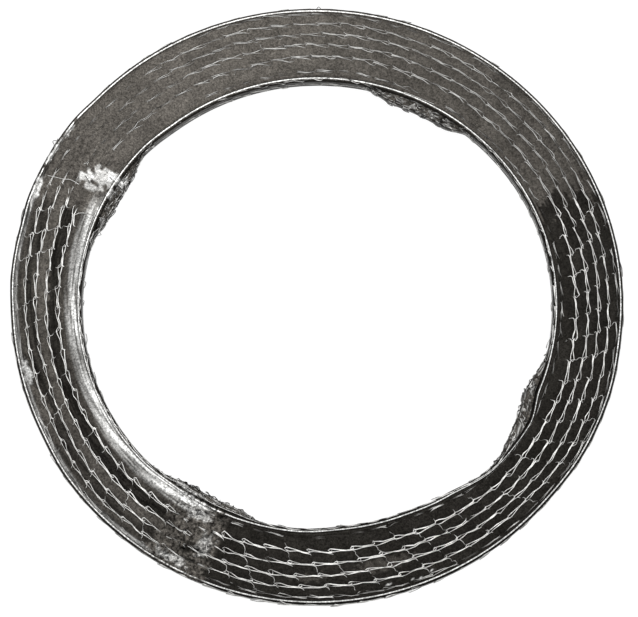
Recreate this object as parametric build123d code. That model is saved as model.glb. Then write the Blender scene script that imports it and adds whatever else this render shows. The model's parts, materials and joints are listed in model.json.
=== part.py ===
"""Ring gasket for a slip-fit exhaust joint: expanded graphite reinforced with knitted stainless wire.

A ribbon of graphite foil inside a knitted wire sleeve is wound round and pressed in a die. The die
leaves a flat ring with a polished rim at each edge of both faces, and four flats in the bore that
grip the pipe. The wire surfaces as concentric courses of stitches, flush with the rims.

Lies flat in XY with +Z up: the origin is the centre of the bore, on the plane of the lower rims.
"""
from build123d import *
import math
import os

# Pipe and flange that the gasket is made for
pipe_d = 88.9              # outside diameter of a 3 1/2 inch pipe
bore_clearance = 0.7       # radial gap between the pipe and the pressed bore wall
outer_d = 120.0            # seats in the flange's recess
thickness = 3.2            # from rim crest to rim crest

# Rims, pressed at the inner and outer edge of both faces
rim_bevel = 0.4            # between a crest and the wall below it
rim_crest = 0.3            # flat width of a crest
rim_slope = 0.15           # width of the step from a crest down to the face

# Grip tabs, formed inwards from the bore wall
tab_count = 4
first_tab_deg = 63.0
tab_bite = 0.6             # how far a tab's flat stands inside the pipe's surface
tab_height = 1.9
tab_nose_r = 0.6           # rounding along both edges of a tab's flat
tab_root = 1.0             # how far a tab runs back into the band

# Knitted wire, half sunk in the graphite
wire_d = 0.28
course_spacing = 2.05      # from one course of stitches to the next
stitch_length = 4.65       # along a course, in the middle of the band
knot_reach = 0.28          # how far a knot stands out from its course's own line

# One stitch along each side of a course: (share of the stitch's length, share of the knot's reach)
OUTWARD_SIDE = [(0.00, 1.0), (0.24, 0.0)]
INWARD_SIDE = [(0.12, 0.15)]

# Sizes that follow from those above
bore_r = pipe_d / 2 + bore_clearance
outer_r = outer_d / 2
middle_r = (bore_r + outer_r) / 2
face_recess = wire_d / 2
rim_width = rim_bevel + rim_crest
face_inner_r = bore_r + rim_width + rim_slope
face_outer_r = outer_r - rim_width - rim_slope
tab_flat_r = pipe_d / 2 - tab_bite
stitch_count = round(2 * math.pi * middle_r / stitch_length)
course_count = int((face_outer_r - face_inner_r) / course_spacing)
first_course_r = middle_r - (course_count - 1) * course_spacing / 2


def face_hollow(rim_z, face_z):
    """Section of the shallow hollow between the two rims of one face."""
    return make_face(
        Polyline(
            (bore_r + rim_width, rim_z),
            (face_inner_r, face_z),
            (face_outer_r, face_z),
            (outer_r - rim_width, rim_z),
            close=True,
        )
    )


def band_section():
    """Section through the band in (radius, height): bevelled rims with a shallow face between them."""
    blank = Pos(middle_r, thickness / 2) * Rectangle(outer_r - bore_r, thickness)
    blank = chamfer(blank.vertices(), rim_bevel)
    return blank - face_hollow(thickness, thickness - face_recess) - face_hollow(0, face_recess)


def grip_tab():
    """Tab on the +X side: a straight bar with a rounded nose, trimmed by the band that carries it."""
    root_r = bore_r + tab_root
    bar_length = 2 * math.sqrt(root_r**2 - tab_flat_r**2)
    bar = Pos((tab_flat_r + root_r) / 2, 0, thickness / 2) * Box(root_r - tab_flat_r, bar_length, tab_height)
    nose_edges = bar.edges().filter_by(Axis.Y).group_by(Axis.X)[0]
    bar = fillet(nose_edges, min(tab_nose_r, 0.45 * tab_height))
    return bar & Cylinder(root_r, 2 * thickness)


def graphite_filler():
    """The wound and pressed band with its four grip tabs, one piece."""
    ring = revolve(Plane.XZ * band_section(), Axis.Z)
    tab = grip_tab()
    for index in range(tab_count):
        ring += Rot(0, 0, first_tab_deg + index * 360 / tab_count) * tab
    return ring


def course_side(radius, stitch_side):
    """Closed line along one side of a course, with the points of one stitch repeated all the way round."""
    points = []
    for stitch in range(stitch_count):
        for share, reach in stitch_side:
            angle = 2 * math.pi * (stitch + share) / stitch_count
            point_r = radius + reach * knot_reach
            points.append((point_r * math.cos(angle), point_r * math.sin(angle)))
    return Wire.make_polygon(points, close=True)


def wire_course(radius):
    """One ring of knitted stitches: a chain of legs with a knot where each loop grips the next."""
    outward = course_side(radius + wire_d / 2, OUTWARD_SIDE)
    inward = course_side(radius - wire_d / 2, INWARD_SIDE)
    return extrude(Face(outward, [inward]), face_recess, dir=(0, 0, 1))


def wire_mesh():
    """The courses that surface on the two faces, resting on the graphite with their tops at rim height."""
    courses = []
    for index in range(course_count):
        course = wire_course(first_course_r + index * course_spacing)
        courses.append(Pos(0, 0, thickness - face_recess) * course)
        courses.append(course)
    return Compound(children=courses)


os.makedirs("parts", exist_ok=True)
export_step(graphite_filler(), "parts/graphite_filler.step")
export_step(wire_mesh(), "parts/wire_mesh.step")
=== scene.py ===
import bpy
import json
import math
import numpy as np
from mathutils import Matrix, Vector


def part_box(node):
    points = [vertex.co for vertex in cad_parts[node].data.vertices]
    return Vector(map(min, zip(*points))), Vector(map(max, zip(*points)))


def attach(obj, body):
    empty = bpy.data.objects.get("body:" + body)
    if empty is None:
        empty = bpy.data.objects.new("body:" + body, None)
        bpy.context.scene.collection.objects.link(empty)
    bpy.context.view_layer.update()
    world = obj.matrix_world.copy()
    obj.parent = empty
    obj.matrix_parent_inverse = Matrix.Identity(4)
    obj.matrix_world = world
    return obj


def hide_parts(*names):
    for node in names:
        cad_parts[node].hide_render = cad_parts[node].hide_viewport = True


# Looks of a ring gasket of knitted stainless wire and expanded graphite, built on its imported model.
#
# The graphite is one pressed surface round the whole section of the ring. The wire is knitted by Geometry
# Nodes as a long flat strip, as it comes off the machine, and is then laid round the ring by pressed(),
# which shapes the graphite too, so that both follow the same rims, grip tabs, laps and dents.

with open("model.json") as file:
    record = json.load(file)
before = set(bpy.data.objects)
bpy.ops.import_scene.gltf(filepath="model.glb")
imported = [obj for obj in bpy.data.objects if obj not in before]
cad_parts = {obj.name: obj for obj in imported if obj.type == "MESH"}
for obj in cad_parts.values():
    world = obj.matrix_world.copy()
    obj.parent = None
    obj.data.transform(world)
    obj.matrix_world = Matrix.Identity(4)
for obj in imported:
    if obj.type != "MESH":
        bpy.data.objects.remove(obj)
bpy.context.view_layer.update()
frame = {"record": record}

# ---------------------------------------------------------------- sizes, in millimetres
MM = 0.001
low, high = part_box("graphite_filler")
THICKNESS = (high.z - low.z) / MM
OUTER_R = high.x / MM
PIPE_R = next(m for m in frame["record"]["mounts"] if m["name"] == "pipe_grip")["dims"]["r_mm"]
BORE_CLEARANCE = 0.7
BORE_R = PIPE_R + BORE_CLEARANCE
MIDDLE_R = (BORE_R + OUTER_R) / 2
RING_WIDTH = OUTER_R - BORE_R

SKIN = 0.16                # the knit's loops stand this far off the walls
OUTER_EDGE = 0.42          # width of the rounding from the outer wall up to its rim's crest
BORE_EDGE = 0.5            # the same at the bore
EDGE_DROP = 0.45           # height of both roundings
CREST_WIDTH = 0.3          # the pressed line along a rim
FACE_DEPTH = 0.14          # the graphite face below the crests
GUTTER_DEPTH = 0.06        # the fine groove between a rim and the face, below the face

TABS = (                   # degrees where a tab starts, is full, fades and ends, and its depth
    (47.0, 54.0, 68.0, 78.0, 1.7),
    (138.0, 150.0, 156.0, 168.0, 1.6),
    (229.0, 238.0, 249.0, 257.0, 1.25),
    (314.0, 330.0, 332.0, 348.0, 2.2),
)
TAB_FOOT = (0.45, 0.8)     # heights over which the wall swells into the tab

WIRE_R = 0.08              # the bright crown of a wire whose sides are sunk in graphite
LOOSE_R = 0.075            # the same on a single wire that has sprung out of the knit
STITCHES_ROUND = 75
WALES = 17                 # columns of loops round the section
FIRST_WALE = 3.1           # from the middle of the outer wall, along the section
SKEW = 1.1                 # pitches by which the rows of loops slant across the top face
LONG_RUN = (-111.0, 158.0)   # degrees over which each length of ribbon shows; where the two lap, only
SHORT_RUN = (158.0, 250.0)   # the upper one does

PITCH = 2 * math.pi * MIDDLE_R / STITCHES_ROUND


# ---------------------------------------------------------------- small helpers
def linear(hex_colour):
    """sRGB hex to the linear RGBA that Blender's sockets take."""
    channels = [int(hex_colour[i:i + 2], 16) / 255 for i in (1, 3, 5)]
    return [c / 12.92 if c <= 0.04045 else ((c + 0.055) / 1.055) ** 2.4 for c in channels] + [1.0]


def add(tree, kind, inputs=None, **settings):
    """Adds a node: settings are its properties, inputs its sockets' values or the sockets that feed them."""
    node = tree.nodes.new(kind)
    for name, value in settings.items():
        setattr(node, name, value)
    for key, value in (inputs or {}).items():
        if isinstance(value, bpy.types.NodeSocket):
            tree.links.new(value, node.inputs[key])
        else:
            node.inputs[key].default_value = value
    return node


def smooth(x, start, end):
    """0 before start, 1 after end, and an even S between them."""
    t = np.clip((x - start) / (end - start), 0, 1)
    return t * t * (3 - 2 * t)


def window(x, start, end, soft):
    """1 between start and end, fading to 0 over soft on both sides."""
    return smooth(x, start - soft, start) * (1 - smooth(x, end, end + soft))


def turn_from(angle, centre):
    """Signed degrees from centre to angle, the short way round."""
    return (angle - centre + 180) % 360 - 180


def mixed(low_value, high_value, share):
    """From one value to another by a share."""
    return low_value + (high_value - low_value) * share


def waves(angle, across, around, width, seed, count=14):
    """Smooth random height of about unit size: around is its waves per turn, width their size across in mm."""
    rng = np.random.default_rng(seed)
    total = np.zeros(np.broadcast(angle, across).shape)
    for _ in range(count):
        per_turn = round(around * rng.uniform(-1.5, 1.5))
        per_mm = rng.normal(0, 0.6 / width)
        total += np.cos(np.radians(angle) * per_turn + 2 * math.pi * (per_mm * across + rng.uniform()))
    return total / math.sqrt(count / 2)


def new_mesh(name, points_mm, faces, material, smooth_shaded=True):
    """A mesh object in the scene from points in millimetres."""
    mesh = bpy.data.meshes.new(name)
    mesh.from_pydata((np.asarray(points_mm) * MM).tolist(), [], faces)
    mesh.materials.append(material)
    mesh.polygons.foreach_set("use_smooth", [smooth_shaded] * len(mesh.polygons))
    mesh.update()
    piece = bpy.data.objects.new(name, mesh)
    bpy.context.scene.collection.objects.link(piece)
    return piece


def paint(piece, name, values):
    """Stores one number per vertex for the material to read."""
    piece.data.attributes.new(name, "FLOAT", "POINT").data.foreach_set("value", values.astype(np.float32))


# ---------------------------------------------------------------- the pressed form
def rim_height(inset, edge):
    """Height of the upper half above the middle plane, at a distance in from a wall."""
    rounding = np.sqrt(np.maximum(1 - (np.maximum(edge - inset, 0) / edge) ** 2, 0))
    past = inset - edge - CREST_WIDTH
    drop = (FACE_DEPTH + GUTTER_DEPTH) * smooth(past, 0, 0.2)
    lift = GUTTER_DEPTH * smooth(past, 0.2, 0.5)
    return THICKNESS / 2 - EDGE_DROP * (1 - rounding) - drop + lift


def edge_steps(edge, fine):
    """Distances in from a wall at which the section is sampled, over its rounding, crest and gutter."""
    bend = edge * (1 - np.cos(np.linspace(0, math.pi / 2, 7 if fine else 5)))
    bead = edge + np.linspace(0, CREST_WIDTH + 0.55, 10 if fine else 6)[1:]
    return np.concatenate([bend, bead])


def section():
    """The closed section as (radius, height) points, from the middle of the outer wall over the top."""
    outer, inner = OUTER_R - SKIN, BORE_R + SKIN
    width = outer - inner
    half = []
    for fine in (True, False):
        rim, fold = edge_steps(OUTER_EDGE, fine), width - edge_steps(BORE_EDGE, fine)[::-1]
        land = np.linspace(rim[-1], fold[0], 42 if fine else 17)[1:-1]
        inset = np.concatenate([rim, land, fold])
        height = np.where(inset < width / 2, rim_height(inset, OUTER_EDGE), rim_height(width - inset, BORE_EDGE))
        half.append((outer - inset, height))
    (top_r, top_z), (low_r, low_z) = half
    wall_top = THICKNESS / 2 - EDGE_DROP
    foot = THICKNESS / 2 - TAB_FOOT[1]
    wall_z = np.concatenate([np.linspace(wall_top, foot, 8)[1:-1], np.linspace(foot, -foot, 7),
                             np.linspace(-foot, -wall_top, 8)[1:-1]])
    rise = np.linspace(-wall_top, wall_top, 9)[1:-1]
    radius = np.concatenate([top_r, np.full(len(wall_z), inner), low_r[::-1], np.full(len(rise), outer)])
    height = np.concatenate([top_z, wall_z, -low_z[::-1], rise])
    return np.roll(np.c_[radius, height], len(rise) // 2 + 1, axis=0)


SECTION = section()
closed = np.r_[SECTION, SECTION[:1]]
REACH = np.r_[0, np.cumsum(np.hypot(*np.diff(closed, axis=0).T))]    # length along the section
PERIMETER = REACH[-1]
WALE_STEP = PERIMETER / WALES


def tab_weight(height):
    """How far a point of the bore wall follows a tab, by its height from the middle plane."""
    depth = THICKNESS / 2 - np.abs(height)
    return smooth(depth, *TAB_FOOT)


def tab_reach(angle):
    """How far the bore wall is pressed inwards at the four grip tabs."""
    reach = np.zeros_like(angle)
    for start, full, fading, end, depth in TABS:
        middle = (start + end) / 2
        off = turn_from(angle, middle)
        rise = smooth(off, start - middle, full - middle)
        fall = 1 - smooth(off, fading - middle, end - middle)
        reach = reach + depth * rise * fall
    return reach


def out_of_round(angle, radius):
    """How the hand-formed ring departs from round: the bore lies off centre, the outside is wavy and bulges
    at a lap, and one tab has drawn the bore's rim outwards beside it."""
    turn = np.radians(angle)
    share = np.clip((OUTER_R - radius) / RING_WIDTH, 0, 1)
    bore = 0.5 * np.cos(turn) - 0.75 * np.sin(turn) + 0.6 * np.cos(2 * turn + 0.1) - 0.25
    bore = bore + 0.4 * window(turn_from(angle, 185), -45, 38, 12) - 0.4 * window(turn_from(angle, 285), -8, 6, 12)
    outside = 0.12 * np.sin(3 * turn + 0.6) + 0.2 * np.cos(2 * turn + 0.2) - 0.27
    outside = outside + 0.4 * window(turn_from(angle, 152), -8, 8, 7)
    outside = outside - 0.35 * window(turn_from(angle, 195), -10, 12, 10) - 0.06
    outside = outside + 0.3 * window(turn_from(angle, 335), -6, 5, 12)
    beside_tab = turn_from(angle, 322)
    drawn = 1.45 * smooth(beside_tab, -20, -6) * (1 - smooth(beside_tab, 6, 15)) * smooth(share, 0.8, 0.97)
    return share * bore + (1 - share) * outside + drawn


def placed(angle, radius, height):
    """Degrees round the ring, radius and height from the middle plane, as points in mm on the real form."""
    radius = radius + out_of_round(angle, radius)
    turn = np.radians(angle)
    return np.stack([radius * np.cos(turn), radius * np.sin(turn),
                     np.clip(height + THICKNESS / 2, 0.004, THICKNESS - 0.004)], axis=-1)


def on_section(angle, along):
    """Radius and height of the pressed surface, tabs included, at a length along the section."""
    along = np.mod(along, PERIMETER)
    radius = np.interp(along, REACH, closed[:, 0])
    height = np.interp(along, REACH, closed[:, 1])
    at_bore = radius < MIDDLE_R
    return radius - tab_reach(angle) * tab_weight(height) * at_bore, height


def pressed(angle, along, off):
    """Where a point lies: degrees round the ring, mm along the section, and mm off the pressed surface."""
    radius, height = on_section(angle, along)
    ahead_r, ahead_z = on_section(angle, along + 0.02)
    run_r, run_z = ahead_r - radius, ahead_z - height
    length = np.hypot(run_r, run_z) + 1e-9
    return placed(angle, radius + off * run_z / length, height - off * run_r / length)


def first_lap(angle):
    """1 where the end of the long run lies crumpled over the short run."""
    return window(turn_from(angle, 151), -6, 8, 1.5)


def second_lap(angle):
    """1 where the end of the short run lies crumpled over the long run."""
    return window(turn_from(angle, 243), -6, 5.5, 1.0)


# ---------------------------------------------------------------- where the wales of the knit lie
EVEN = FIRST_WALE + WALE_STEP * np.arange(-1, 8)       # knitted evenly
SPREAD = np.array([0, -0.3, -0.5, -0.45, -0.3, 0.0, 0.9, 0.3, 0])    # and spread by the die, + inwards
KNITTED = np.r_[0, EVEN, PERIMETER]
LAID = np.r_[0, EVEN + SPREAD, PERIMETER]


def drift(angle, along):
    """How far a wale strays sideways on its way round."""
    whole = 0.3 * window(turn_from(angle, 275), -20, 25, 15) - 0.1
    return whole + 0.1 * waves(angle, along, 12, 9.0, 21)


def wandered(angle, along):
    """From a length along the knitted strip to where it ends up along the section."""
    along = np.mod(along, PERIMETER)
    kinks = 0.06 * waves(angle, along, 230, 0.9, 22) + 0.06 * waves(angle, along, 90, 1.3, 23)
    return np.interp(along, KNITTED, LAID) + drift(angle, along) + kinks


def skew(along):
    """Pitches by which the loops lag behind, as the sleeve was twisted under the die."""
    across_top = np.interp(along, [0, 3, 15.2, 17.5, PERIMETER], [0.08, 0, 1, 1, 0.08])
    return -SKEW * across_top


# ---------------------------------------------------------------- materials
def expanded_graphite():
    """Expanded graphite foil, die-pressed and burnished: near black and grainy, with a dull metallic sheen
    that greys and brightens where the die has rubbed a film over the wires or crumpled a lap. Light and shade
    are painted into its colour too: a painted sheen greys the upper arc, painted shade darkens a line beside
    each wire, painted highlights and reflections brighten the rims, a brushed band and torn foil, and at a
    crumpled lap the creases are painted darker and their ridges lighter."""
    material = bpy.data.materials.new("expanded_graphite_pressed")
    material.use_nodes = True
    tree = material.node_tree
    tree.nodes.clear()

    def noise(size_mm, detail):
        return add(tree, "ShaderNodeTexNoise", {
            "Vector": place, "Scale": 1 / (size_mm * MM), "Detail": detail}).outputs[0]

    def spread(value, first, last, least, most):
        return add(tree, "ShaderNodeMapRange", {0: value, 1: first, 2: last, 3: least, 4: most}).outputs[0]

    def times(first, second):
        return add(tree, "ShaderNodeMath", {0: first, 1: second}, operation="MULTIPLY").outputs[0]

    def attribute(name):
        return add(tree, "ShaderNodeAttribute", attribute_name=name).outputs["Fac"]

    place = add(tree, "ShaderNodeTexCoord").outputs["Object"]
    grain = noise(0.36, 2.0)
    speck = noise(0.17, 1.0)
    crease = noise(0.55, 3.0)
    tone = times(spread(grain, 0.3, 0.7, 0.5, 1.5), spread(speck, 0.25, 0.75, 0.5, 1.5))
    tone = times(tone, spread(noise(5.0, 4.0), 0.3, 0.7, 0.82, 1.18))
    # painted shade and highlight at crumpled laps: the colour is darker in the creases and lighter on their ridges,
    # from the same noise as their bump
    creased = add(tree, "ShaderNodeMix", {0: attribute("crumple"), 2: 1.0, 3: spread(crease, 0.34, 0.66, 0.2, 1.9)})
    tone = times(tone, creased.outputs[0])
    # grey of a rubbed film, with painted sheen over the upper arc and painted shade along the wires
    filmed = add(tree, "ShaderNodeMix", {
        0: attribute("film_sheen_and_shade"), 6: linear("#161513"), 7: linear("#474440")}, data_type="RGBA")
    # painted highlight: rims, a brushed band and torn foil are lightened towards pale grey
    bright = add(tree, "ShaderNodeMix", {
        0: attribute("painted_highlight"), 6: filmed.outputs[2], 7: linear("#D8D8D6")}, data_type="RGBA")
    colour = add(tree, "ShaderNodeVectorMath", {0: bright.outputs[2], "Scale": tone}, operation="SCALE")
    fold = add(tree, "ShaderNodeBump", {
        "Strength": attribute("crumple"), "Distance": 0.12 * MM, "Height": crease})
    bump = add(tree, "ShaderNodeBump", {
        "Strength": 0.4, "Distance": 0.05 * MM, "Height": grain, "Normal": fold.outputs[0]})
    surface = add(tree, "ShaderNodeBsdfPrincipled", {
        "Base Color": colour.outputs[0], "Metallic": 1.0, "Roughness": 0.42, "Normal": bump.outputs[0]})
    out = add(tree, "ShaderNodeOutputMaterial")
    tree.links.new(surface.outputs[0], out.inputs["Surface"])
    return material


def knitted_stainless():
    """Stainless wire, drawn, knitted and then rolled flat by the die: bright crowns, with graphite left
    in the drawing marks and between the loops."""
    material = bpy.data.materials.new("stainless_wire_drawn_knitted")
    material.use_nodes = True
    tree = material.node_tree
    tree.nodes.clear()
    place = add(tree, "ShaderNodeTexCoord").outputs["Object"]
    smear = add(tree, "ShaderNodeTexNoise", {"Vector": place, "Scale": 1 / (0.9 * MM), "Detail": 3.0})
    share = add(tree, "ShaderNodeMapRange", {0: smear.outputs[0], 1: 0.35, 2: 0.6, 3: 0.6, 4: 1.0})
    bare = add(tree, "ShaderNodeAttribute", attribute_name="bare").outputs["Fac"]
    share = add(tree, "ShaderNodeMath", {0: share.outputs[0], 1: bare}, operation="MULTIPLY")
    colour = add(tree, "ShaderNodeMix", {0: share.outputs[0], 6: linear("#2A2826"), 7: linear("#F4F3F0")},
                 data_type="RGBA")
    surface = add(tree, "ShaderNodeBsdfPrincipled", {
        "Base Color": colour.outputs[2], "Metallic": 1.0, "Roughness": 0.28})
    out = add(tree, "ShaderNodeOutputMaterial")
    tree.links.new(surface.outputs[0], out.inputs["Surface"])
    return material


GRAPHITE = expanded_graphite()
STEEL = knitted_stainless()


# ---------------------------------------------------------------- graphite
SHORT_RUN_FILM = (0.55, 0.3, 0.95, 0.1, 0.6, 0.6)    # film between its wales, outside first

TORN_FOIL_HIGHLIGHTS = (              # degrees, mm out from the bore, half length and half width in mm, brightness of the painted highlight
    (150.2, 2.6, 2.0, 2.7, 0.42),
    (149.0, 1.6, 1.1, 1.2, 0.7),
    (151.6, 5.4, 0.8, 0.9, 0.75),
    (149.6, -0.5, 1.5, 0.9, 0.5),
    (153.2, 0.3, 1.0, 0.6, 0.6),
    (152.4, 6.6, 1.0, 0.9, 0.7),
    (153.6, 4.2, 0.8, 1.4, 0.4),
    (158.5, 13.5, 2.6, 0.7, 0.7),
    (151.0, 13.9, 2.2, 0.4, 0.5),
    (146.0, 13.7, 1.8, 0.4, 0.4),
    (195.3, 12.8, 2.2, 0.8, 0.55),
    (238.0, 1.1, 4.2, 0.7, 0.55),
    (236.0, -0.3, 3.2, 0.45, 0.6),
    (243.0, 3.0, 2.4, 0.9, 0.3),
    (241.5, 12.6, 3.0, 0.8, 0.3),
    (246.5, 7.5, 1.5, 2.2, 0.2),
    (292.5, 12.4, 0.4, 0.25, 0.9),
    (290.0, 12.9, 0.25, 0.2, 0.9),
    (284.0, 12.4, 0.5, 0.15, 0.8),
    (288.6, 12.7, 0.3, 0.2, 0.8),
)
RUBBED = (                 # the same columns for panes of rubbed film, with its grey for brightness
    (157.3, 7.2, 2.2, 1.7, 1.2),
    (157.2, 2.6, 1.9, 1.5, 1.4),
    (157.8, -0.6, 1.4, 0.8, 1.2),
    (156.0, 11.0, 2.6, 1.6, 1.2),
    (202.5, 12.0, 3.6, 1.5, 1.3),
    (178.0, 8.0, 7.0, 1.3, 1.3),
    (284.0, 8.5, 5.5, 1.2, 0.75),
    (268.0, 9.5, 3.0, 0.8, 0.6),
)


def cell(angle, along):
    """Which mesh of the knit a point lies in: its wale, a random number of its own, and mm to its edge."""
    even = np.interp(along - drift(angle, along), LAID, KNITTED)
    column = (even - FIRST_WALE) / WALE_STEP
    row = (LONG_RUN[1] - angle) * STITCHES_ROUND / 360 + skew(along) - column / WALES
    table = np.random.default_rng(6).random((STITCHES_ROUND, WALES + 1))
    wale = np.floor(column).astype(int) % WALES
    value = table[np.floor(row).astype(int) % STITCHES_ROUND, wale]
    return wale, value, np.abs(column - np.round(column)) * WALE_STEP


def blotches(angle, out, spots, seed):
    """Ragged patches of the given brightness."""
    ragged = 0.25 * waves(angle, out, 170, 1.4, seed)
    total = np.zeros_like(angle)
    for turn, place, half_long, half_wide, value in spots:
        beside = np.radians(turn_from(angle, turn)) * (BORE_R + place) / half_long
        distance = np.hypot(beside, (out - place) / half_wide) + ragged
        total = np.maximum(total, value * (1 - smooth(distance, 0.7, 1.15)))
    return total


def graphite_film_sheen_and_shade(angle, along, out):
    """How grey the graphite looks: 0 for bare graphite, 1 for a film rubbed over the wires. Over the upper
    arc this grey is partly a painted sheen, and along each wire it is painted darker as shade.
    """
    wale, value, beside = cell(angle, along)
    dark = 0.12 + 0.1 * value
    streak = waves(angle, along, 26, 0.4, 42)
    short = np.array(SHORT_RUN_FILM)[np.minimum(wale, 5)] * (0.75 + 0.5 * value) + 0.12 * streak
    film_sheen_and_shade = mixed(dark, short, window(turn_from(angle, 199), -40, 38, 3))
    # painted sheen: the upper arc is lifted to a light grey, part rubbed film and part the face's sheen under light
    # from above
    edge = turn_from(angle, 85) + 8 * (value - 0.5) + 1.5 * streak
    filmed = window(edge, -62, 66, 2)
    film_sheen_and_shade = mixed(film_sheen_and_shade, 0.8 + 0.12 * value + 0.25 * smooth(turn_from(angle, 95), -25, 25), filmed)
    film_sheen_and_shade = mixed(film_sheen_and_shade, 1.15 + 0.5 * waves(angle, along, 60, 2.0, 13), second_lap(angle))
    film_sheen_and_shade = mixed(film_sheen_and_shade, 0.95 + 0.15 * streak, first_lap(angle))
    # painted shade: the grey is darkened in a line along each wire, where the groove beside it lies in shadow
    painted_groove_shade = np.exp(-(beside / mixed(0.3, 0.2, filmed)) ** 2) * window(out, 0.9, 13.6, 0.3)
    film_sheen_and_shade = film_sheen_and_shade * (1 - mixed(0.45, 0.2, filmed) * painted_groove_shade)
    film_sheen_and_shade = film_sheen_and_shade * mixed(0.3, 1, smooth(out, 0.2, 0.7) * (1 - smooth(out, 14.0, 14.4)))
    return np.maximum(film_sheen_and_shade, blotches(angle, out, RUBBED, 9))


def graphite_painted_highlight(angle, along, out):
    """Painted highlights and reflections on the die-polished graphite: both rims, a brushed band inside the
    short run, torn foil.
    """
    from_rim = OUTER_R - SKIN - BORE_R - SKIN - OUTER_EDGE - out
    from_fold = out - BORE_EDGE
    fleck = 0.95 + 0.12 * waves(angle, along, 150, 3.0, 41)
    whole = 1 - window(turn_from(angle, 150), -9, 10, 1) * (waves(angle, along, 160, 9.0, 43) > -0.1)
    # painted highlight along the crests of both rims
    rims = window(from_rim, 0.07, 0.22, 0.06) * whole + window(from_fold, 0.07, 0.22, 0.06)
    rims = rims * (1 - 0.8 * second_lap(angle) * (waves(angle, along, 160, 9.0, 44) > 0.1))
    streak = np.clip(0.75 + 0.4 * waves(angle, along, 24, 0.35, 42), 0.1, 1.6)
    near = np.exp(-((from_fold - 0.9) / 0.7) ** 2)
    wide = 1 - smooth(from_fold, 2.2, 3.2)
    whiter = 1 + 0.5 * window(turn_from(angle, 220), -14, 16, 8)
    # painted reflection: a bright brushed band along the bore inside the short run, and a fainter one by the outer
    # rim
    band = window(turn_from(angle, 203), -42, 36, 8) * streak * (0.4 * near + 0.3 * wide) * whiter
    band = band * smooth(from_fold, 0.2, 0.4)
    outer = 0.25 * window(turn_from(angle, 198), -40, 38, 3) * window(from_rim, 0.4, 0.9, 0.3) * streak
    return np.maximum(rims * fleck + band + outer, blotches(angle, out, TORN_FOIL_HIGHLIGHTS, 11))


GRAPHITE_COLUMNS = 740     # points of the graphite mesh round the ring


def graphite_ring():
    """The pressed graphite all round the section, with its pillows between the wires."""
    columns = GRAPHITE_COLUMNS
    angle = np.linspace(0, 360, columns, endpoint=False)[:, None]
    angle, along = np.broadcast_arrays(angle, REACH[:-1][None, :])
    angle, along = angle.ravel(), along.ravel()
    rows = len(SECTION)
    radius, height = on_section(angle, along)
    out = radius - BORE_R - SKIN
    upper = height > 0
    on_face = window(out, 1.1, 13.4, 0.3)
    on_tab = np.minimum(tab_reach(angle), 1) * (out < 0.02)
    crumple = np.maximum(second_lap(angle), np.maximum(0.3 * first_lap(angle), 0.5 * on_tab))
    beside = cell(angle, along)[2]
    pillow = (0.02 - 0.045 * np.exp(-(beside / 0.35) ** 2)) * on_face * (1 - crumple)
    rough = 0.012 * waves(angle, along, 90, 2.5, 5) * (0.3 + 0.7 * on_face)
    creased = crumple * (0.05 - 0.03 * on_tab) * waves(angle, along, 260, 0.9, 7)
    points = pressed(angle, along, pillow + rough + creased)
    corner = np.arange(columns * rows).reshape(columns, rows)
    a, b = corner, np.roll(corner, -1, axis=1)
    c, d = np.roll(b, -1, axis=0), np.roll(corner, -1, axis=0)
    faces = np.stack([a, d, c, b], axis=-1).reshape(-1, 4).tolist()
    ring = new_mesh("pressed_graphite", points, faces, GRAPHITE)
    film_sheen_and_shade = graphite_film_sheen_and_shade(angle, along, out)
    film_sheen_and_shade = mixed(film_sheen_and_shade, 0.7 + 0.3 * waves(angle, along, 160, 1.0, 8), on_tab)
    # grey of a rubbed film, with painted sheen on the upper arc and painted shade along the wires
    paint(ring, "film_sheen_and_shade", np.where(upper, film_sheen_and_shade, 0.25))
    # painted highlights and reflections on the rims, the brushed band and torn foil
    paint(ring, "painted_highlight", np.where(upper, graphite_painted_highlight(angle, along, out), 0))
    paint(ring, "crumple", np.where(upper, crumple, 0))
    return ring


# ---------------------------------------------------------------- knit
STITCH_STEPS = 16
HALF_STITCH = [            # (wale steps across, pitches along, wire radii up) from sinker to head
    (-0.50, -0.02, -0.7),
    (-0.29, -0.06, -0.6),
    (-0.115, -0.05, -0.2),
    (-0.038, 0.03, 0.2),
    (-0.032, 0.28, 0.3),
    (-0.038, 0.53, 0.2),
    (-0.105, 0.80, 0.0),
    (-0.13, 0.98, -0.2),
    (0.00, 1.09, -0.3),
]
STITCH = HALF_STITCH + [(-across, up, height) for across, up, height in HALF_STITCH[-2:0:-1]]


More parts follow.
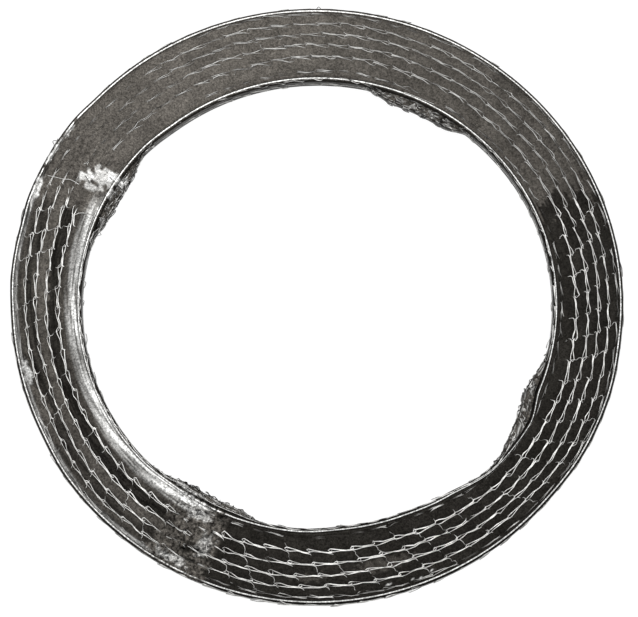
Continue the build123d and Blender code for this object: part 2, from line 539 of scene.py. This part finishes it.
def knit_tree():
    """One wire knitted up and down a strip: X along the ribbon, Y round the sleeve and on, Z off its surface."""
    tree = bpy.data.node_groups.new("knit", "GeometryNodeTree")
    for name, kind, value in (("Loops", "NodeSocketInt", 10), ("Wales", "NodeSocketInt", WALES),
                              ("Pitch", "NodeSocketFloat", PITCH * MM),
                              ("Wale step", "NodeSocketFloat", WALE_STEP * MM),
                              ("Wire radius", "NodeSocketFloat", WIRE_R * MM),
                              ("Lean", "NodeSocketFloat", 0.3 * MM),
                              ("First lean", "NodeSocketFloat", 32.0),
                              ("Lean swing", "NodeSocketFloat", 44.0),
                              ("Unevenness", "NodeSocketFloat", 1.0), ("Seed", "NodeSocketInt", 1),
                              ("Material", "NodeSocketMaterial", None)):
        socket = tree.interface.new_socket(name, in_out="INPUT", socket_type=kind)
        if value is not None:
            socket.default_value = value
    tree.interface.new_socket("Mesh", in_out="OUTPUT", socket_type="NodeSocketGeometry")
    given = add(tree, "NodeGroupInput").outputs

    def maths(operation, *values):
        return add(tree, "ShaderNodeMath", dict(enumerate(values)), operation=operation).outputs[0]

    def chance(low_value, high_value, seed):
        drawn = add(tree, "FunctionNodeRandomValue", {2: low_value, 3: high_value, "ID": stitch,
                                                      "Seed": maths("ADD", given["Seed"], seed)})
        return maths("MULTIPLY", drawn.outputs[1], given["Unevenness"])

    def stitch_curve(column, low_value, high_value):
        curve = add(tree, "ShaderNodeFloatCurve", {"Value": phase})
        line = curve.mapping.curves[0]
        curve.mapping.use_clip = False
        values = [(step[column] - low_value) / (high_value - low_value) for step in STITCH + STITCH[:1]]
        while len(line.points) < len(values):
            line.points.new(0.5, 0.5)
        for index, value in enumerate(values):
            line.points[index].location = (index / STITCH_STEPS, value)
            line.points[index].handle_type = "VECTOR"
        curve.mapping.update()
        return maths("MULTIPLY_ADD", curve.outputs[0], high_value - low_value, low_value)

    index = add(tree, "GeometryNodeInputIndex").outputs[0]
    stitch = maths("FLOOR", maths("DIVIDE", index, float(STITCH_STEPS)))
    phase = maths("FRACT", maths("DIVIDE", maths("ADD", index, 0.001), float(STITCH_STEPS)))
    across = stitch_curve(0, -0.6, 0.6)
    upward = stitch_curve(1, -0.2, 1.3)
    height = stitch_curve(2, -1.0, 1.0)
    widen = maths("ADD", 1.0, chance(-0.3, 0.4, 11))
    course = maths("DIVIDE", stitch, given["Wales"])
    swing = maths("DIVIDE", maths("SUBTRACT", course, given["First lean"]), given["Lean swing"])
    sway = maths("COSINE", maths("MULTIPLY", swing, 2 * math.pi))
    lean = maths("MULTIPLY_ADD", sway, given["Lean"], chance(-0.12 * MM, 0.12 * MM, 12))
    lean = maths("MULTIPLY", lean, maths("SUBTRACT", upward, 0.5))
    stretch = maths("ADD", 1.0, maths("MULTIPLY", chance(-0.05, 0.05, 13), upward))
    x = maths("MULTIPLY", maths("MULTIPLY_ADD", upward, stretch, course), given["Pitch"])
    side = maths("MULTIPLY", maths("MULTIPLY", across, given["Wale step"]), widen)
    y = maths("ADD", maths("MULTIPLY", stitch, given["Wale step"]), maths("ADD", side, lean))
    z = maths("MULTIPLY", maths("ADD", height, chance(-0.25, 0.25, 14)), given["Wire radius"])
    count = maths("MULTIPLY", given["Loops"], float(STITCH_STEPS))
    points = add(tree, "GeometryNodePoints", {
        "Count": count, "Position": add(tree, "ShaderNodeCombineXYZ", {0: x, 1: y, 2: z}).outputs[0]})
    line = add(tree, "GeometryNodePointsToCurves", {"Points": points.outputs[0]})
    ring = add(tree, "GeometryNodeCurvePrimitiveCircle", {"Resolution": 6, 4: given["Wire radius"]})
    tube = add(tree, "GeometryNodeCurveToMesh", {
        "Curve": line.outputs[0], "Profile Curve": ring.outputs[0], "Fill Caps": True})
    real = add(tree, "GeometryNodeRealizeInstances", {"Geometry": tube.outputs[0]})
    dressed = add(tree, "GeometryNodeSetMaterial", {
        "Geometry": real.outputs[0], "Material": given["Material"]})
    out = add(tree, "NodeGroupOutput")
    tree.links.new(dressed.outputs[0], out.inputs[0])
    return tree


KNIT = knit_tree()


def plain_mesh(name, source, modifier=None):
    """Turns what a curve or a modifier makes into a plain mesh object."""
    bpy.context.view_layer.update()
    evaluated = source.evaluated_get(bpy.context.evaluated_depsgraph_get())
    mesh = bpy.data.meshes.new_from_object(evaluated)
    if modifier:
        source.modifiers.remove(modifier)
    bpy.data.objects.remove(source)
    mesh.name = name
    mesh.polygons.foreach_set("use_smooth", [True] * len(mesh.polygons))
    piece = bpy.data.objects.new(name, mesh)
    bpy.context.scene.collection.objects.link(piece)
    return piece


def knitted(name, values):
    """A flat strip of the knit, with the tree's inputs set by name."""
    source = bpy.data.objects.new(name + "_source", bpy.data.meshes.new(name))
    bpy.context.scene.collection.objects.link(source)
    modifier = source.modifiers.new("knit", "NODES")
    modifier.node_group = KNIT
    sockets = {item.name: item.identifier for item in KNIT.interface.items_tree if item.in_out == "INPUT"}
    for key, value in values.items():
        modifier[sockets[key]] = value
    return plain_mesh(name, source, modifier)


def loosened(run, across, along):
    """Loops that stand proud of the two walls, here and there, each lifted by its own amount."""
    stitch = np.floor(across / WALE_STEP + 0.5).astype(int)
    upward = run / PITCH - stitch / WALES
    lift = np.random.default_rng(4).uniform(-0.5, 1.0, stitch.max() - stitch.min() + 1)
    lift = np.maximum(lift, 0)[stitch - stitch.min()]
    bore = window(along, 16.2, 19.5, 0.4)
    outside = np.maximum(1 - smooth(along, 1.2, 1.8), smooth(along, PERIMETER - 1.8, PERIMETER - 1.2))
    return lift * (0.45 * bore + 0.3 * outside) * window(upward, 0.85, 1.1, 0.2)


def wire_depth(angle, along):
    """How deep the wire's middle lies under the pressed surface."""
    from_film = turn_from(angle, 85)
    filmed = window(from_film, -62, 66, 5) * (along < PERIMETER / 2)
    buried = 0.04 + 0.012 * smooth(from_film, 10, 30) + 0.03 * smooth(from_film, 34, 50)
    buried = buried + 0.012 * waves(angle, along, 60, 2.0, 31)
    first = 0.06 * window(along, 2.0, 3.4, 0.3) + 0.075 * window(along, 12.8, 15.2, 0.5)
    bare = 0.01 + first + 0.012 * waves(angle, along, 40, 3.0, 32)
    burnished = 0.2 * window(turn_from(angle, 203), -40, 36, 4) * window(along, 12.2, 15.0, 0.3)
    crumpled = 0.04 * second_lap(angle) + mixed(0.02, 0.09, smooth(along, 7.5, 9)) * first_lap(angle)
    crumpled = crumpled * (1 + 0.8 * waves(angle, along, 120, 1.5, 33)) * (along < PERIMETER / 2)
    return mixed(bare, buried + first / 2, filmed) + burnished + crumpled


LEAN = -0.38               # mm by which a stitch's head leans, outwards where it is below zero
FIRST_LEAN = 32.0          # the course that leans most, counted from the end of the long run
LEAN_SWING = 44.0          # courses from one outward lean to the next


def flat_points(piece):
    """A flat strip's points in mm: along the ribbon, across it, and up."""
    flat = np.zeros(len(piece.data.vertices) * 3, np.float32)
    piece.data.vertices.foreach_get("co", flat)
    return flat.reshape(-1, 3).astype(float).T / MM


def move_points(piece, points_mm):
    """Puts a mesh's points at new places, in millimetres."""
    piece.data.vertices.foreach_set("co", (points_mm * MM).astype(np.float32).ravel())
    piece.data.update()


def knitted_run(name, span, seed):
    """One length of the knitted sleeve laid round the ring, its loops' heads running clockwise."""
    courses = round((span[1] - span[0]) / 360 * STITCHES_ROUND)
    passed = (LONG_RUN[1] - span[1]) % 360 / 360 * STITCHES_ROUND
    piece = knitted(name, {"Loops": courses * WALES, "Wales": WALES, "Pitch": PITCH * MM,
                           "Wale step": WALE_STEP * MM, "Wire radius": WIRE_R * MM, "Lean": LEAN * MM,
                           "First lean": FIRST_LEAN - passed, "Lean swing": LEAN_SWING, "Unevenness": 1.0,
                           "Seed": seed, "Material": STEEL})
    run, across, rise = flat_points(piece)
    along = np.mod(FIRST_WALE + across, PERIMETER)
    angle = span[1] - (run / PITCH - skew(along)) * 360 / STITCHES_ROUND
    off = rise - wire_depth(angle, along) + loosened(run, across, along)
    pulled = 0.75 * np.minimum(tab_reach(angle), 1) * window(along, 15.2, 15.9, 0.5)
    move_points(piece, pressed(angle, wandered(angle, along) + pulled, off))
    on_top = window(along, 2.0, 15.5, 0.3)
    smeared = 0.4 * window(turn_from(angle, 85), -60, 66, 5) * on_top
    smeared = np.maximum(smeared, 0.7 * np.minimum(tab_reach(angle), 1) * window(along, 14.5, 19, 0.3))
    paint(piece, "bare", smooth(off, -0.01, 0.05) * (0.7 + 0.3 * on_top) * (1 - smeared))
    return piece


TAB_PITCH = 1.7            # mm from stitch to stitch where the knit is gathered on a tab
TAB_WALE_STEP = 0.75
TAB_WALES = 4


def tab_knit(number, tab):
    """The knit that covers one grip tab, gathered to a finer pitch and crumpled over its edge."""
    start, end = tab[0], tab[3]
    pitch, step, wales = TAB_PITCH, TAB_WALE_STEP, TAB_WALES
    length = math.radians(end - start) * BORE_R
    piece = knitted("knitted_wire_tab_%d" % number, {
        "Loops": round(length / pitch) * wales, "Wales": wales, "Pitch": pitch * MM, "Wale step": step * MM,
        "Wire radius": LOOSE_R * MM, "Lean": 0.12 * MM, "First lean": 0.0, "Lean swing": 5.0,
        "Unevenness": 2.2, "Seed": number, "Material": STEEL})
    run, across, rise = flat_points(piece)
    angle = end - np.degrees(run / BORE_R)
    share = np.abs(np.mod(across / (wales * step), 2) - 1)
    bore_top = REACH[np.argmax(SECTION[:, 0] < BORE_R + SKIN + 1e-6)]
    shelf = TAB_FOOT[1] - 0.02
    along = bore_top + np.interp(share, [0, 0.7, 1], [0.05, shelf - TAB_FOOT[0] + 0.02, shelf + 0.7])
    off = rise + 0.02 + 0.07 * waves(angle, across, 260, 0.8, number)
    off = off + 0.22 * window(share, 0.62, 0.8, 0.1) * np.maximum(waves(angle, across, 150, 2.0, number + 9), 0)
    move_points(piece, pressed(angle, along, off))
    paint(piece, "bare", np.clip(0.25 + 0.35 * waves(angle, across, 120, 1.0, number + 5), 0.03, 1))
    return piece


# ---------------------------------------------------------------- wire that has sprung out of the knit
BRIGHT_STRANDS = (         # each through a few places: degrees, mm out from the bore, mm above the middle
    ((161.9, 4.9, 1.50), (160.7, 4.6, 1.51), (159.9, 3.0, 1.50), (159.5, 1.6, 1.50), (160.2, 0.9, 1.50),
     (159.4, -0.9, 1.1)),
    ((155.4, 12.6, 1.47), (155.0, 11.0, 1.50), (154.8, 9.6, 1.47), (154.0, 8.2, 1.50), (154.4, 6.4, 1.47)),
    ((231.1, 0.3, 1.45), (234.7, -0.4, 1.2), (239.2, -0.6, 1.1), (243.5, -0.1, 1.2), (250.1, -0.2, 1.2),
     (256.1, 0.3, 1.4)),
    ((232.5, 0.4, 1.49), (235.7, 0.7, 1.50), (241.0, 1.4, 1.50), (243.7, 2.2, 1.48)),
    ((67.0, 0.9, 1.48), (63.0, 1.0, 1.50), (59.0, 1.1, 1.48)),
)
DARK_STRANDS = (
    ((149.5, 2.1, 1.49), (150.2, 0.5, 1.50), (150.7, -1.3, 1.0)),
    ((152.0, 6.3, 1.49), (152.2, 5.7, 1.50), (153.1, 4.7, 1.49)),
    ((89.9, 14.3, 1.3), (89.7, 14.9, 1.25), (89.2, 14.9, 1.2), (89.0, 14.3, 1.2)),
    ((149.4, 14.6, 1.3), (149.2, 15.2, 1.25), (148.7, 15.2, 1.2), (148.5, 14.6, 1.2)),
    ((55.0, 1.4, 1.46), (53.0, 1.7, 1.47), (51.0, 1.9, 1.46)),
)


def loose_wire(name, strands, bare):
    """Sprung ends of wire as one piece, bright or blackened by graphite."""
    curve = bpy.data.curves.new(name, "CURVE")
    curve.dimensions = "3D"
    curve.bevel_depth = LOOSE_R * MM
    curve.bevel_resolution = 1
    curve.resolution_u = 5
    for strand in strands:
        angle, out, height = np.array(strand).T
        points = placed(angle, out + BORE_R + SKIN, height) * MM
        spline = curve.splines.new("NURBS")
        spline.points.add(len(strand) - 1)
        spline.order_u = 3
        spline.use_endpoint_u = True
        spline.points.foreach_set("co", np.c_[points, np.ones(len(strand))].ravel())
    curve.materials.append(STEEL)
    source = bpy.data.objects.new(name + "_source", curve)
    bpy.context.scene.collection.objects.link(source)
    piece = plain_mesh(name, source)
    paint(piece, "bare", np.full(len(piece.data.vertices), bare))
    return piece


# ---------------------------------------------------------------- the pieces
graphite = graphite_ring()
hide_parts("graphite_filler")
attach(graphite, "root")
wires = [
    knitted_run("knitted_wire_long_run", LONG_RUN, 3),
    knitted_run("knitted_wire_short_run", SHORT_RUN, 8),
    loose_wire("loose_wire_bright", BRIGHT_STRANDS, 0.7),
    loose_wire("loose_wire_blackened", DARK_STRANDS, 0.1),
]
wires += [tab_knit(number, tab) for number, tab in enumerate(TABS, 1)]
for wire in wires:
    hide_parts("wire_mesh")
    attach(wire, "root")


# ---------------------------------------------------------------- floor, light and camera
def studio_floor():
    """A plain pale board under the gasket, white to the camera, that keeps a soft shadow."""
    material = bpy.data.materials.new("studio_board_matt_white")
    material.use_nodes = True
    tree = material.node_tree
    tree.nodes.clear()
    rays = add(tree, "ShaderNodeLightPath").outputs
    seen = add(tree, "ShaderNodeMath", {0: rays["Is Camera Ray"], 1: rays["Is Glossy Ray"]}, operation="MAXIMUM")
    seen = add(tree, "ShaderNodeMath", {0: seen.outputs[0], 1: rays["Is Transmission Ray"]}, operation="MAXIMUM")
    matt = add(tree, "ShaderNodeBsdfDiffuse", {"Color": linear("#E8E8E8")})
    glow = add(tree, "ShaderNodeEmission", {"Color": linear("#FFFFFF"), "Strength": 1.12})
    share = add(tree, "ShaderNodeMath", {0: seen.outputs[0], 1: 0.85}, operation="MULTIPLY")
    board = add(tree, "ShaderNodeMixShader", {0: share.outputs[0], 1: matt.outputs[0], 2: glow.outputs[0]})
    out = add(tree, "ShaderNodeOutputMaterial")
    tree.links.new(board.outputs[0], out.inputs["Surface"])
    half = 40 * OUTER_R
    floor = new_mesh("studio_floor", [(-half, -half, 0), (half, -half, 0), (half, half, 0), (-half, half, 0)],
                     [(0, 1, 2, 3)], material, False)


def soft_light(name, place_mm, size_mm, power):
    """A square softbox that faces the gasket."""
    lamp = bpy.data.lights.new(name, "AREA")
    lamp.size = size_mm * MM
    lamp.energy = power
    holder = bpy.data.objects.new(name, lamp)
    holder.location = Vector(place_mm) * MM
    holder.rotation_euler = (-holder.location).to_track_quat("-Z", "Y").to_euler()
    bpy.context.scene.collection.objects.link(holder)


HORIZON_LEVEL = 0.15
ZENITH_LEVEL = 1.3


def sky():
    """Even white surroundings, brighter overhead."""
    world = bpy.data.worlds.new("white_tent")
    bpy.context.scene.world = world
    world.use_nodes = True
    tree = world.node_tree
    tree.nodes.clear()
    heading = add(tree, "ShaderNodeTexCoord").outputs["Generated"]
    up = add(tree, "ShaderNodeSeparateXYZ", {0: heading}).outputs["Z"]
    level = add(tree, "ShaderNodeMapRange", {0: up, 1: 0.0, 2: 1.0, 3: HORIZON_LEVEL, 4: ZENITH_LEVEL})
    backdrop = add(tree, "ShaderNodeBackground", {"Color": linear("#FFFFFF"), "Strength": level.outputs[0]})
    out = add(tree, "ShaderNodeOutputWorld")
    tree.links.new(backdrop.outputs[0], out.inputs["Surface"])


CAMERA_TILT = 12.0         # degrees from straight above
CAMERA_DISTANCE = 345.5
LENS = 100.0
AIM = (0.62, -2.28, 1.6)   # the point it looks at, in millimetres

studio_floor()
sky()
soft_light("overhead_softbox", (-60, 220, 420), 240, 0.5)
bpy.context.scene.view_settings.view_transform = "Standard"

camera_data = bpy.data.cameras.new("camera")
camera_data.lens = LENS
camera_data.sensor_width = 36
camera = bpy.data.objects.new("camera", camera_data)
tilt = math.radians(CAMERA_TILT)
aim = Vector(AIM) * MM
camera.location = aim + CAMERA_DISTANCE * MM * Vector((0, -math.sin(tilt), math.cos(tilt)))
camera.rotation_euler = (tilt, 0, 0)
bpy.context.scene.collection.objects.link(camera)
bpy.context.scene.camera = camera
